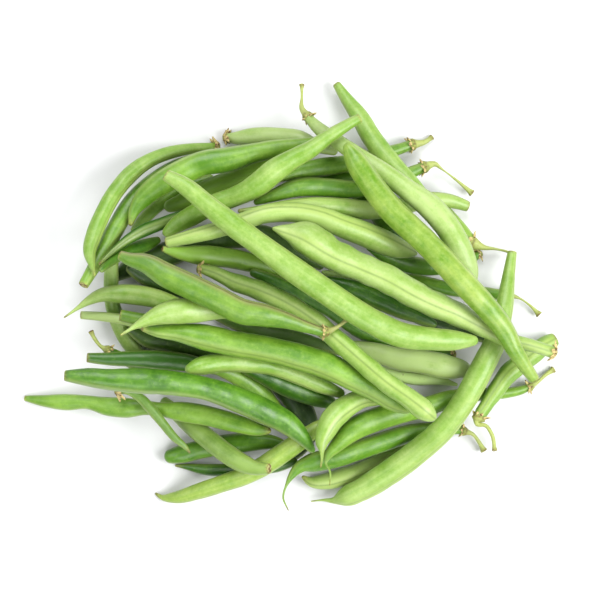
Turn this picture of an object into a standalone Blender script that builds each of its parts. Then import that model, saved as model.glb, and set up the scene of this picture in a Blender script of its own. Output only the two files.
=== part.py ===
"""A loose heap of green beans, built as one body of separate pods.

Every bean is one solid: a tapering pod with the stem or the fine tail that grew on it. The
beans are listed from the bottom of the heap to the top. Each one is laid on the floor and on
the beans already below it, touching at least one thing on each side of its own middle.
"""

import math
from dataclasses import dataclass

import bpy
import numpy as np
from mathutils import Vector

MM = 0.001

# The heap.
HEAP_NAME = "green_bean_bundle"
SKIN_GAP = 0.45          # clear space between two beans that touch, mm
SAMPLE_STEP = 1.5        # spacing of the places where contact is worked out, mm

# How far a pod may arch down over what it lies on, as curvature in 1/mm.
DROOPS = (0.0, 0.0015, 0.003, 0.0045, 0.006, 0.0075)
DROOP_COST = 60.0        # mm of height that a unit of curvature has to save

# The curve that makes a pod: a bevel resolution of 2 gives eight sides.
BEVEL_RESOLUTION = 2

# Skin colours, linear RGB, with the roughness of a fresh waxy pod.
SKINS = {
    "lime": (0.42, 0.63, 0.13),
    "mid": (0.24, 0.46, 0.06),
    "deep": (0.07, 0.24, 0.03),
    "olive": (0.22, 0.36, 0.07),
}
SKIN_ROUGHNESS = 0.42


@dataclass
class Bean:
    """One bean seen from above.

    route holds (x, y, thickness) in mm from one end to the other. The heap's middle is (0, 0),
    +X is east and +Y is north.
    """

    name: str
    skin: str
    route: list


# From the bottom of the heap to the top.
BEANS = [
    Bean("bean_hidden_west", "deep", [
        (-69, 6, 3), (-61.5, 10.5, 8), (-49.5, 15, 10), (-36, 19.5, 10), (-22.5, 22.5, 10),
        (-9, 21, 10), (3, 15.5, 8), (11.5, 10.5, 3)]),
    Bean("bean_hidden_south", "deep", [
        (-24.5, -18, 2.5), (-15.5, -24.5, 7), (-6, -33, 8.5), (2, -42, 10), (4.5, -51, 10),
        (0.5, -58.5, 7.5), (-6, -64, 2.5)]),
    Bean("bean_hidden_north", "deep", [
        (-10.5, 48, 2), (-0.5, 46.5, 6.5), (10.5, 45, 8), (22, 42, 9.5), (30, 36, 10),
        (35, 28, 9.5), (39.5, 20.5, 7), (42.5, 14, 2)]),
    Bean("bean_floor_west", "olive", [
        (-67.5, 21.5, 3), (-68.5, 15, 5), (-69, 6, 6), (-68.5, -3.5, 6), (-65.5, -12, 7),
        (-61, -19.5, 7), (-55.5, -27, 4.5)]),
    Bean("bean_hidden_northwest", "lime", [
        (-61.5, 24, 1.5), (-58, 27.5, 4), (-53, 32.5, 5), (-46.5, 37.5, 5), (-39, 41.5, 4.5),
        (-30.5, 45, 2)]),
    Bean("bean_west_arch_inner", "mid", [
        (-79, 3.5, 4), (-75, 10.5, 5), (-70.5, 18.5, 6.5), (-66, 27, 7), (-61.5, 34.5, 7),
        (-54, 42.5, 6), (-45.5, 48.5, 5), (-37, 52.5, 3)]),
    Bean("bean_southwest_dark", "deep", [
        (-45, -64.5, 0.8), (-40, -65, 2.5), (-33, -66, 4.5), (-24, -66, 5), (-15, -65.5, 5),
        (-6, -64.5, 4.5), (1.5, -62.5, 2.5)]),
    Bean("bean_southwest_stub", "deep", [
        (-49, -61.5, 4.5), (-44, -60.5, 7), (-36, -58.5, 7.5), (-26, -56.5, 8),
        (-16.5, -55.5, 7.5), (-8, -55.5, 5.5), (-1.5, -57, 2)]),
    Bean("bean_west_dark_stem", "mid", [
        (-76.5, -13.5, 1.5), (-75, -16.5, 1.5), (-72.5, -19.5, 1.5), (-70.5, -20.5, 2.5),
        (-66, -23, 4), (-60, -26, 5), (-51, -29.5, 5), (-42, -33, 4.5), (-32.5, -36, 2)]),
    Bean("bean_under_west", "olive", [
        (-63, -12.5, 2.5), (-56, -15.5, 8), (-47.5, -18, 8), (-39, -20.5, 7.5),
        (-30, -22.5, 6), (-21, -24.5, 2)]),
    Bean("bean_east_stem_thin", "deep", [
        (93, -7.5, 2), (89.5, -4, 1), (85, -1, 1), (81, 0, 3), (75, 0.5, 4.5), (66, 1.5, 5.5),
        (56.5, 3, 5.5), (47.5, 5.5, 4.5), (40.5, 7.5, 2)]),
    Bean("bean_northeast_under", "deep", [
        (71, 16.5, 2), (68.5, 14.5, 3.5), (62.5, 12, 5), (52.5, 10.5, 6.5), (42.5, 12, 7),
        (34, 15, 5), (27.5, 19, 3)]),
    Bean("bean_gap_east", "olive", [
        (41.5, -5.5, 2), (45, -7.5, 4.5), (52, -10, 6), (60, -12.5, 6), (67.5, -15, 4.5),
        (75, -17.5, 2)]),
    Bean("bean_spotted", "lime", [
        (30, -27, 3), (37.5, -30, 4), (45, -31.5, 5), (54, -32, 4), (62, -34, 1)]),
    Bean("bean_south_hook", "mid", [
        (3, -68.5, 1), (6.5, -70.5, 4), (11.5, -70.5, 6.5), (18, -69, 7.5), (26.5, -66, 7),
        (36, -60.5, 5.5), (45, -54, 3)]),
    Bean("bean_south_long_tail", "mid", [
        (72, -59, 2), (70, -55.5, 1.5), (67.5, -52.5, 1.5), (64.5, -51.5, 2.5),
        (60, -50.5, 4.5), (52, -51, 6.5), (42.5, -52.5, 7.5), (33, -55.5, 8), (24, -58.5, 8),
        (14.5, -61.5, 8), (7, -63, 7.5), (2.5, -64.5, 5), (-0.5, -67.5, 3), (-3, -72, 1),
        (-4, -76, 0.8), (-2, -81, 0.5)]),
    Bean("bean_west_pale_thin", "lime", [
        (-80.5, -7.5, 3), (-73, -8, 3.5), (-65.5, -9, 4), (-57, -11, 4), (-45.5, -14, 2)]),
    Bean("bean_west_blunt", "mid", [
        (-65.5, -7.5, 4.5), (-58.5, -9, 5), (-51, -10.5, 6), (-42, -13, 4.5), (-32.5, -15, 3)]),
    Bean("bean_northeast_stem", "lime", [
        (53.5, 37, 2), (58, 31, 5), (63, 24.5, 6.5), (67.5, 20, 5), (72, 18, 2), (76, 17.5, 1),
        (80.5, 16.5, 1), (84, 15, 1.5)]),
    Bean("bean_west_arch", "mid", [
        (-28, 57, 2), (-31.5, 56, 3.5), (-38, 55.5, 4), (-46, 54, 5), (-53, 51.5, 5.5),
        (-60.5, 46.5, 6.5), (-67, 39, 6.5), (-72, 30, 6.5), (-75, 22.5, 6.5), (-76.5, 16, 5),
        (-75.5, 11, 2.5), (-74.5, 7, 0.6)]),
    Bean("bean_north_under", "mid", [
        (-49, 33, 4), (-42.5, 35, 7), (-34.5, 39, 8), (-25, 43, 8), (-15.5, 47, 7.5),
        (-6, 51, 5.5), (1.5, 53.5, 2)]),
    Bean("bean_north_stem_short", "mid", [
        (52.5, 60, 1.5), (49.5, 58, 2), (45, 57, 3.5), (39, 55, 4.5), (28.5, 52, 6),
        (19, 49.5, 7), (9, 48, 7.5), (0, 46, 5.5), (-7.5, 43, 2)]),
    Bean("bean_north_stem_long", "mid", [
        (67.5, 38.5, 2), (61.5, 43.5, 1), (55.5, 48, 1), (53.5, 49.5, 2), (49.5, 48.5, 3.5),
        (43.5, 46, 5), (35, 42.5, 6), (24, 40, 7), (12.5, 40.5, 7.5), (2, 40.5, 7.5),
        (-7.5, 37.5, 5), (-15, 34.5, 2)]),
    Bean("bean_northeast_blunt", "mid", [
        (66, 33.5, 4), (59.5, 35.5, 5.5), (51, 36, 6.5), (40.5, 33.5, 7), (29.5, 32, 7.5),
        (18, 33, 7.5), (7, 33.5, 7), (-4.5, 33, 5), (-13.5, 32, 3), (-21, 31.5, 1.5)]),
    Bean("bean_north_rim", "lime", [
        (-27, 60, 2), (-23, 59.5, 4.5), (-15.5, 60, 7), (-6, 60, 7), (2.5, 59, 6.5),
        (9, 56, 5), (16.5, 54, 3)]),
    Bean("bean_northwest_stub", "lime", [
        (-51, 21, 2.5), (-55.5, 19, 5), (-61.5, 17, 5), (-67.5, 13.5, 4), (-72.5, 9, 2)]),
    Bean("bean_northwest_grooved", "mid", [
        (-73, 11.5, 0.8), (-69, 15.5, 2), (-63.5, 20, 3.5), (-57, 24, 5), (-49.5, 27, 5),
        (-41, 30, 5), (-32.5, 33, 4)]),
    Bean("bean_west_shaded", "deep", [
        (-78, -23.5, 3.5), (-70.5, -24, 5), (-60.5, -24, 6.5), (-49.5, -24.5, 7.5),
        (-40, -25.5, 7), (-30.5, -27.5, 5), (-22.5, -29.5, 2)]),
    Bean("bean_gap_west", "olive", [
        (-63, 10.5, 2.5), (-57, 7.5, 7), (-49.5, 4.5, 7.5), (-40, 1, 7), (-30.5, -3, 3)]),
    Bean("bean_west_whisker", "lime", [
        (-86.5, -8.5, 0.6), (-81.5, -5, 1.5), (-77, -2, 3.5), (-72.5, 0, 5.5), (-66, 0.5, 7.5),
        (-58.5, 0, 8), (-51, -1.5, 7.5), (-43.5, -4, 6), (-36, -7.5, 3)]),
    Bean("bean_core_deep_west", "deep", [
        (-34.5, -25.5, 4), (-26, -28.5, 6), (-18, -32.5, 7.5), (-12, -37.5, 7.5),
        (-6.5, -43.5, 5), (-3, -49, 2)]),
    Bean("bean_core_deep", "deep", [
        (-19.5, -27, 4), (-11, -30.5, 7), (-3, -34, 8.5), (4.5, -37, 8.5), (11.5, -39.5, 7),
        (16.5, -42, 2.5)]),
    Bean("bean_core_pale", "lime", [
        (-40.5, -28.5, 3), (-36.5, -27, 6.5), (-28.5, -25.5, 7.5), (-17.5, -25.5, 7.5),
        (-7.5, -27, 7), (2.5, -30.5, 7), (11.5, -34.5, 6), (19, -37.5, 3)]),
    Bean("bean_core_olive", "olive", [
        (-30.5, -7.5, 3), (-21, -11, 5.5), (-10, -14.5, 6.5), (1.5, -16.5, 6),
        (11.5, -19.5, 4.5), (20, -22.5, 2)]),
    Bean("bean_core_bright", "mid", [
        (-49.5, 17.5, 2), (-43.5, 16, 5), (-35, 15, 8), (-25, 14, 8), (-15.5, 12, 7.5),
        (-6, 9, 5), (1.5, 7, 2)]),
    Bean("bean_gap_pale", "lime", [
        (10.5, 9, 1), (14.5, 7.5, 4), (20, 5.5, 5), (27.5, 3, 4.5), (35, 0, 2)]),
    Bean("bean_gap_dark", "deep", [
        (11.5, 6, 3), (20, 3, 7), (29.5, -0.5, 8), (39, -4.5, 8), (47.5, -8, 6),
        (54, -11.5, 2)]),
    Bean("bean_gap_centre", "deep", [
        (-16.5, 9, 3), (-8, 5.5, 5), (3, 0, 6), (14.5, -6, 6), (25, -13.5, 6), (37, -18.5, 5),
        (48, -21.5, 4.5), (57.5, -22.5, 4), (61.5, -22.5, 2.5)]),
    Bean("bean_east_pale", "lime", [
        (18, -18, 2), (22.5, -19.5, 5), (30, -21.5, 8), (39, -24, 9), (48, -25, 9.5),
        (57.5, -27, 9.5), (64.5, -28.5, 6.5), (68.5, -32, 1.5)]),
    Bean("bean_south_curved", "mid", [
        (98.5, -28, 2), (95.5, -30, 1.5), (92, -33, 1.5), (89.5, -34.5, 2.5), (85.5, -36, 3.5),
        (80, -37, 4), (70.5, -37.5, 5), (59.5, -39, 7), (50, -42, 8), (40.5, -44, 9),
        (31.5, -46.5, 9.5), (22.5, -50.5, 9), (16.5, -56, 6), (12.5, -61, 2.5), (12, -63, 1),
        (13.5, -66, 0.8), (13.5, -71.5, 0.5)]),
    Bean("bean_southwest_lime", "lime", [
        (-52.5, -75, 0.8), (-50, -76.5, 2), (-45, -76.5, 4.5), (-36, -74, 6.5), (-27, -71, 7),
        (-17.5, -67.5, 7.5), (-11, -64, 8), (-4.5, -59.5, 8), (2, -55, 7.5), (9, -49.5, 5),
        (13.5, -46.5, 2)]),
    Bean("bean_southwest_olive", "olive", [
        (-50, -39.5, 3.5), (-40, -48, 7.5), (-32.5, -54, 8), (-26, -59, 8), (-19.5, -63, 7.5),
        (-13.5, -65, 5.5), (-9, -65, 4)]),
    Bean("bean_lumpy", "deep", [
        (-102, -39, 2), (-94.5, -40, 4.5), (-86, -40.5, 6.5), (-78, -40.5, 5.5),
        (-70.5, -42, 7.5), (-63.5, -42.5, 8), (-56, -42.5, 6), (-51, -43, 5.5), (-42, -44, 8),
        (-32.5, -45.5, 8), (-22.5, -48, 7.5), (-13.5, -50.5, 5), (-8.5, -51, 2)]),
    Bean("bean_tiny", "mid", [
        (-67.5, -36, 2), (-62.5, -36.5, 2), (-58, -38.5, 3.5), (-54, -42.5, 4),
        (-49.5, -48, 3.5), (-44.5, -54, 3), (-41, -57, 2), (-39, -59.5, 0.6)]),
    Bean("bean_south_claw", "lime", [
        (37.5, -39, 2), (32.5, -38.5, 6), (25.5, -39, 7.5), (19.5, -42, 9), (14.5, -46.5, 9.5),
        (12, -51, 8), (10.5, -55.5, 5), (10.5, -58.5, 2), (10.5, -61.5, 1), (10, -64.5, 0.6)]),
    Bean("bean_deep_long", "deep", [
        (-85.5, -30, 4), (-77.5, -30.5, 7), (-68, -31.5, 8.5), (-57, -32, 10),
        (-43.5, -33, 9.5), (-32.5, -35, 9), (-21, -39, 10), (-11, -43.5, 10), (-2.5, -48, 9),
        (3, -53, 6.5), (7.5, -59, 2)]),
    Bean("bean_northwest_broad", "mid", [
        (-61.5, 26, 1.5), (-60, 31.5, 4.5), (-57, 36, 7.5), (-52, 40.5, 9), (-43.5, 45.5, 10),
        (-34.5, 49.5, 10), (-25, 51, 10), (-15, 53.5, 8), (-4.5, 55.5, 7), (5, 57, 5),
        (12.5, 58.5, 3)]),
    Bean("bean_north_tall", "mid", [
        (16, 80, 3), (20, 74, 5), (24, 68.5, 7), (30, 58.5, 8), (38, 48.5, 7.5),
        (46, 40.5, 5.5), (52, 34, 3)]),
    Bean("bean_north_sweep", "mid", [
        (3, 79.5, 1.5), (3, 74.5, 1), (3, 70.5, 2), (5, 67.5, 3), (9, 63, 5), (16.5, 57.5, 6),
        (24, 52.5, 6.5), (33, 46.5, 7.5), (42.5, 39.5, 8.5), (51, 33, 10), (58.5, 24, 10),
        (63, 15, 10), (66, 7.5, 7), (67.5, 3, 2)]),
    Bean("bean_s_curved", "mid", [
        (25, 66.5, 3.5), (19.5, 63.5, 4.5), (12.5, 59, 6), (6, 54.5, 7), (-0.5, 51, 8),
        (-7.5, 46.5, 9.5), (-13.5, 41.5, 9.5), (-21, 37.5, 8), (-29, 34.5, 8), (-38, 30, 8),
        (-44, 26.5, 6.5), (-49, 22.5, 3)]),
    Bean("bean_centre_seamed", "lime", [
        (-48, 19.5, 4), (-38, 22, 5.5), (-28.5, 24.5, 6.5), (-19.5, 27.5, 7), (-10, 30.5, 7.5),
        (-0.5, 31, 8), (9, 29.5, 8.5), (18, 26, 9.5), (27.5, 22.5, 10), (36, 19, 9.5),
        (42.5, 16.5, 6), (46.5, 15.5, 1)]),
    Bean("bean_east_bent", "lime", [
        (99, -16.5, 5.5), (94, -19.5, 7.5), (87.5, -24.5, 8), (81, -29.5, 8), (76.5, -35.5, 7),
        (72.5, -41.5, 5.5), (69.5, -46.5, 4), (69, -48.5, 2), (72, -49, 1.5),
        (74.5, -52.5, 1.5), (75.5, -58.5, 1.5)]),
    Bean("bean_great_arc", "lime", [
        (82.5, 16.5, 3.5), (81, 7.5, 5), (79.5, -3, 7), (76.5, -15.5, 8.5), (71, -27, 9.5),
        (64.5, -39, 9.5), (57, -49.5, 9.5), (46.5, -59, 10), (35, -67.5, 10), (25.5, -73.5, 9),
        (18.5, -76.5, 7), (15.5, -77.5, 3), (11, -77.5, 1), (6.5, -78, 0.5)]),
    Bean("bean_broad_seamed", "lime", [
        (-8, 25, 1), (-4, 24, 5), (3, 22, 12.5), (15, 15, 12.5), (25, 10.5, 11.5),
        (35, 6, 11.5), (46.5, -0.5, 11), (55, -4.5, 10.5), (60, -6.5, 10), (70.5, -12, 7.5),
        (80, -16.5, 6), (89.5, -19, 5), (99, -22, 4.5)]),
    Bean("bean_centre_bright", "mid", [
        (-57, -12.5, 1.5), (-51, -13.5, 4.5), (-43.5, -14, 7), (-34.5, -15.5, 10),
        (-23, -18, 10), (-11, -20, 10), (1.5, -23, 10.5), (12.5, -26.5, 10.5), (22, -31, 10),
        (31.5, -36, 9), (38, -40, 8), (42, -42.5, 4.5), (44, -43.5, 2)]),
    Bean("bean_leaf_ended", "lime", [
        (-64.5, -15, 0.8), (-60.5, -12.5, 1.5), (-56, -10, 4), (-50.5, -7.5, 7.5),
        (-43.5, -6, 10), (-36, -6, 9), (-28.5, -5.5, 7.5), (-19.5, -6, 6), (-12.5, -7.5, 2)]),
    Bean("bean_long_seamed", "mid", [
        (-36.5, 10.5, 3), (-30, 8.5, 5), (-22.5, 5, 7), (-13.5, 2, 8), (-2.5, -3, 8),
        (7.5, -9.5, 8), (17.5, -18, 8), (25.5, -25, 8), (35, -33, 8), (43.5, -39, 8),
        (50.5, -44.5, 7), (53, -46.5, 2)]),
    Bean("bean_rough_backed", "mid", [
        (-65, 15, 3.5), (-61.5, 13.5, 5), (-55.5, 12, 7.5), (-47.5, 7.5, 9.5), (-38, 3, 10),
        (-28.5, -1.5, 10), (-19.5, -6, 10), (-11, -7.5, 9), (-2.5, -9.5, 6.5), (5, -12, 4.5),
        (12, -13.5, 3), (16, -12, 1.5), (20, -9, 1.5)]),
    Bean("bean_top_lime", "lime", [
        (-48, 45, 4.5), (-40.5, 40.5, 7), (-32, 33.5, 8), (-24.5, 27.5, 9), (-15, 20.5, 9),
        (-1.5, 10.5, 10), (14.5, -0.5, 10), (28.5, -9.5, 10), (40.5, -15, 10), (52, -16.5, 9),
        (61.5, -17, 7.5), (69, -17, 3)]),
    Bean("bean_top_green", "mid", [
        (19.5, 57, 3), (22.5, 51.5, 8), (28.5, 42, 9.5), (35.5, 33, 10), (49.5, 19.5, 10),
        (64.5, 3.5, 10), (78, -12, 8.5), (84, -22.5, 6.5), (90.5, -32, 4)]),
]


def clear_scene():
    """Remove every object that the file starts with."""
    for item in list(bpy.data.objects):
        bpy.data.objects.remove(item, do_unlink=True)


def stations(columns):
    """Return the rows of a route, with more in between, no further apart than SAMPLE_STEP."""
    rows = [columns[0]]
    for start, end in zip(columns[:-1], columns[1:]):
        count = max(1, math.ceil(np.linalg.norm(end[:2] - start[:2]) / SAMPLE_STEP))
        rows.extend(start + (end - start) * step / count for step in range(1, count + 1))
    return np.array(rows)


def lengths_along(plan):
    """Return the distance from the first end to each place on a route."""
    steps = np.linalg.norm(np.diff(plan[:, :2], axis=0), axis=1)
    return np.concatenate([[0.0], np.cumsum(steps)])


def lowest_heights(spots, laid):
    """Return how low the axis may go at each spot, over the floor and the beans laid so far."""
    lowest = spots[:, 2].copy()
    if laid is None:
        return lowest
    apart = np.linalg.norm(spots[:, None, :2] - laid[None, :, :2], axis=2)
    reach = spots[:, None, 2] + laid[None, :, 2] + SKIN_GAP
    lift = laid[None, :, 3] + np.sqrt(np.maximum(reach ** 2 - apart ** 2, 0.0))
    lift = np.where(apart < reach, lift, -np.inf)
    return np.maximum(lowest, lift.max(axis=1))


def resting_line(along, heights, middle):
    """Return the height at the middle and the slope of a straight bar resting on the heights.

    The bar touches them at one place on each side of its middle, so it lies there by itself.
    """
    hull = []
    for point in zip(along, heights):
        while len(hull) > 1 and turns_left(hull[-2], hull[-1], point):
            hull.pop()
        hull.append(point)
    for (a, low), (b, high) in zip(hull[:-1], hull[1:]):
        if a <= middle <= b:
            slope = (high - low) / (b - a)
            return low + slope * (middle - a), slope
    raise ValueError("the middle is off the bean")


def turns_left(first, second, third):
    """Tell whether the middle point of three lies on or under the line through the others."""
    ahead = (second[0] - first[0]) * (third[1] - first[1])
    return ahead >= (second[1] - first[1]) * (third[0] - first[0])


def lay_down(bean, laid):
    """Return the axis points (x, y, radius, z) of a bean laid on what is already there."""
    route = np.array(bean.route, dtype=float)
    route[:, 2] *= 0.5
    spots = stations(route)
    along = lengths_along(spots)
    lowest = lowest_heights(spots, laid)
    weights = spots[:, 2] ** 2
    middle = float((along * weights).sum() / weights.sum())
    offset = along - middle

    best = None
    for droop_before in DROOPS:
        for droop_after in DROOPS:
            droop = np.where(offset < 0, droop_before, droop_after) * offset ** 2 / 2
            height, slope = resting_line(along, lowest + droop, middle)
            axis = height + slope * offset - droop
            cost = (axis * weights).sum() / weights.sum()
            cost += DROOP_COST * (droop_before + droop_after)
            if best is None or cost < best[0]:
                best = (cost, axis)
    heights = np.interp(lengths_along(route), along, best[1])
    return np.column_stack([route, heights])


def lay_heap(beans):
    """Lay the beans one after another and return each one's axis points."""
    laid = None
    axes = {}
    for bean in beans:
        axis = lay_down(bean, laid)
        axes[bean.name] = axis
        spots = stations(axis)
        laid = spots if laid is None else np.vstack([laid, spots])
    return axes


def skin_material(name, colour):
    """Make the waxy green of one kind of pod."""
    material = bpy.data.materials.new("skin_" + name)
    material.use_nodes = True
    shader = material.node_tree.nodes["Principled BSDF"]
    shader.inputs["Base Color"].default_value = (*colour, 1.0)
    shader.inputs["Roughness"].default_value = SKIN_ROUGHNESS
    shader.inputs["Metallic"].default_value = 0.0
    return material


def make_pod(bean, axis, material, parent, collection):
    """Make a bean as a round bevelled curve, with its origin at its middle point."""
    centre = axis[len(axis) // 2, [0, 1, 3]]
    thickest = float(axis[:, 2].max())
    curve = bpy.data.curves.new(bean.name, "CURVE")
    curve.dimensions = "3D"
    curve.bevel_depth = thickest * MM
    curve.bevel_resolution = BEVEL_RESOLUTION
    curve.use_fill_caps = True
    spline = curve.splines.new("POLY")
    spline.points.add(len(axis) - 1)
    for point, (x, y, radius, z) in zip(spline.points, axis):
        place = (Vector((x, y, z)) - Vector(centre)) * MM
        point.co = (*place, 1.0)
        point.radius = radius / thickest
    spline.use_smooth = True
    curve.materials.append(material)
    pod = bpy.data.objects.new(bean.name, curve)
    pod.location = Vector(centre) * MM
    pod.parent = parent
    collection.objects.link(pod)
    return pod


def stand_on_origin(pods, heap):
    """Move the heap so that the middle of its box's bottom is the origin."""
    bpy.context.view_layer.update()
    corners = np.array([tuple(pod.matrix_world @ Vector(c)) for pod in pods for c in pod.bound_box])
    low = corners.min(axis=0)
    high = corners.max(axis=0)
    heap.location = (-(low[0] + high[0]) / 2, -(low[1] + high[1]) / 2, -low[2])


def build():
    """Build the whole heap."""
    clear_scene()
    collection = bpy.data.collections.new(HEAP_NAME)
    bpy.context.scene.collection.children.link(collection)
    heap = bpy.data.objects.new(HEAP_NAME + "_origin", None)
    collection.objects.link(heap)
    materials = {name: skin_material(name, colour) for name, colour in SKINS.items()}
    axes = lay_heap(BEANS)
    pods = [make_pod(b, axes[b.name], materials[b.skin], heap, collection) for b in BEANS]
    stand_on_origin(pods, heap)


build()
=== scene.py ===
"""The looks of a loose heap of green beans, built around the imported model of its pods.

Each pod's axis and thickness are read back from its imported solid. A Geometry Nodes sweep then
makes the pod itself: a waxy skin with seams, seeds that swell it a little, a cut face, a rounded
tip or a fine tail. A second tree makes the ring of dry sepals where a stem joins its pod.
"""

import logging
import math
from dataclasses import dataclass, field
from enum import Enum
from typing import Any, Optional, Union

import bmesh
import bpy
import numpy as np
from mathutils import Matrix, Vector


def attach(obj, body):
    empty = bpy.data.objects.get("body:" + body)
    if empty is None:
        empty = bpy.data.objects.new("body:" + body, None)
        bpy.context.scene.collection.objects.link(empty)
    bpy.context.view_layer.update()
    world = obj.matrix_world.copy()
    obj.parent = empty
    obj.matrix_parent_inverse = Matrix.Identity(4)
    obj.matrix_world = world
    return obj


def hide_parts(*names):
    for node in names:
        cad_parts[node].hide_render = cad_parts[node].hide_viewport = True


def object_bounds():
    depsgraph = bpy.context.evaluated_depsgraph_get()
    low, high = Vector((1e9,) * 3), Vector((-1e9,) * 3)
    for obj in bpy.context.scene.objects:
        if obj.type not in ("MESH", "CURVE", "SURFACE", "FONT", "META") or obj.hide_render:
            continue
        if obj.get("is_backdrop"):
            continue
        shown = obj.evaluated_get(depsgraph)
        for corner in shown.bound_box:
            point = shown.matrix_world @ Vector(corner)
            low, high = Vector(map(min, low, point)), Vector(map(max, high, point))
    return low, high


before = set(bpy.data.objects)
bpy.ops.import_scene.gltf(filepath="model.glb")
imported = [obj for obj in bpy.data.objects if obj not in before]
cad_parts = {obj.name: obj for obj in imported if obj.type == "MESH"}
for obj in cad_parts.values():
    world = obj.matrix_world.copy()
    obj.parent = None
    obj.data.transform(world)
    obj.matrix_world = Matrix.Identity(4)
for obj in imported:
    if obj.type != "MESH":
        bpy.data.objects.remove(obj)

LOG = logging.getLogger("green_beans")

MM = 0.001
BODY = "root"

TUBE_SIDES = 8           # sides of each packed pod
FLOOR_CLEARANCE = 0.02   # mm that a pod's skin keeps above the floor
SEPAL_CLEARANCE = 0.2    # mm that a dry sepal keeps above the floor

Colour = tuple[float, float, float]
Number = Union[float, int, "Wire"]


class End(Enum):
    """How one end of a bean is finished."""

    CUT = "cut"
    ROUND = "round"
    TAIL = "tail"
    CAP = "cap"
    STEM = "stem"


class Compass(Enum):
    """Where an end lies on the floor plan, as (east, north)."""

    N = (0.0, 1.0)
    NE = (1.0, 1.0)
    E = (1.0, 0.0)
    SE = (1.0, -1.0)
    S = (0.0, -1.0)
    SW = (-1.0, -1.0)
    W = (-1.0, 0.0)
    NW = (-1.0, 1.0)


# ---------------------------------------------------------------------------------------------
# Node building
# ---------------------------------------------------------------------------------------------


class Wire:
    """A number that a node puts out. Arithmetic on it adds Math nodes."""

    def __init__(self, graph: "Graph", socket: bpy.types.NodeSocket) -> None:
        """Keep the graph and the socket.

        Args:
            graph: The graph that new nodes go in.
            socket: The output that holds the number.
        """
        self.graph = graph
        self.socket = socket

    def _math(self, operation: str, first: Number, second: Number = 0.0) -> "Wire":
        """Add a Math node and return its result."""
        node = self.graph.node("ShaderNodeMath", {"operation": operation}, {0: first, 1: second})
        return self.graph.wire(node)

    def __add__(self, other: Number) -> "Wire":
        """Return self + other."""
        return self._math("ADD", self, other)

    __radd__ = __add__

    def __sub__(self, other: Number) -> "Wire":
        """Return self - other."""
        return self._math("SUBTRACT", self, other)

    def __rsub__(self, other: Number) -> "Wire":
        """Return other - self."""
        return self._math("SUBTRACT", other, self)

    def __mul__(self, other: Number) -> "Wire":
        """Return self * other."""
        return self._math("MULTIPLY", self, other)

    def __truediv__(self, other: Number) -> "Wire":
        """Return self / other."""
        return self._math("DIVIDE", self, other)

    def __rtruediv__(self, other: Number) -> "Wire":
        """Return other / self."""
        return self._math("DIVIDE", other, self)

    def __neg__(self) -> "Wire":
        """Return -self."""
        return self._math("MULTIPLY", self, -1.0)

    def __abs__(self) -> "Wire":
        """Return the size of self."""
        return self._math("ABSOLUTE", self)

    def sin(self) -> "Wire":
        """Return the sine of self."""
        return self._math("SINE", self)

    def cos(self) -> "Wire":
        """Return the cosine of self."""
        return self._math("COSINE", self)

    def exp(self) -> "Wire":
        """Return e to the power of self."""
        return self._math("EXPONENT", self)

    def least(self, other: Number) -> "Wire":
        """Return the smaller of self and other."""
        return self._math("MINIMUM", self, other)

    def most(self, other: Number) -> "Wire":
        """Return the larger of self and other."""
        return self._math("MAXIMUM", self, other)

    def step(self, low: float, high: float) -> "Wire":
        """Return a smooth rise from 0 to 1 as self goes from low to high.

        Args:
            low: Where the rise starts.
            high: Where it ends. It may be under low, for a fall.
        """
        node = self.graph.node(
            "ShaderNodeMapRange",
            {"interpolation_type": "SMOOTHSTEP"},
            {"Value": self, "From Min": low, "From Max": high},
        )
        return self.graph.wire(node)

    def bell(self, width: float) -> "Wire":
        """Return 1 where self is 0, falling away over the given width."""
        ratio = self / width
        return (-(ratio * ratio)).exp()


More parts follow.
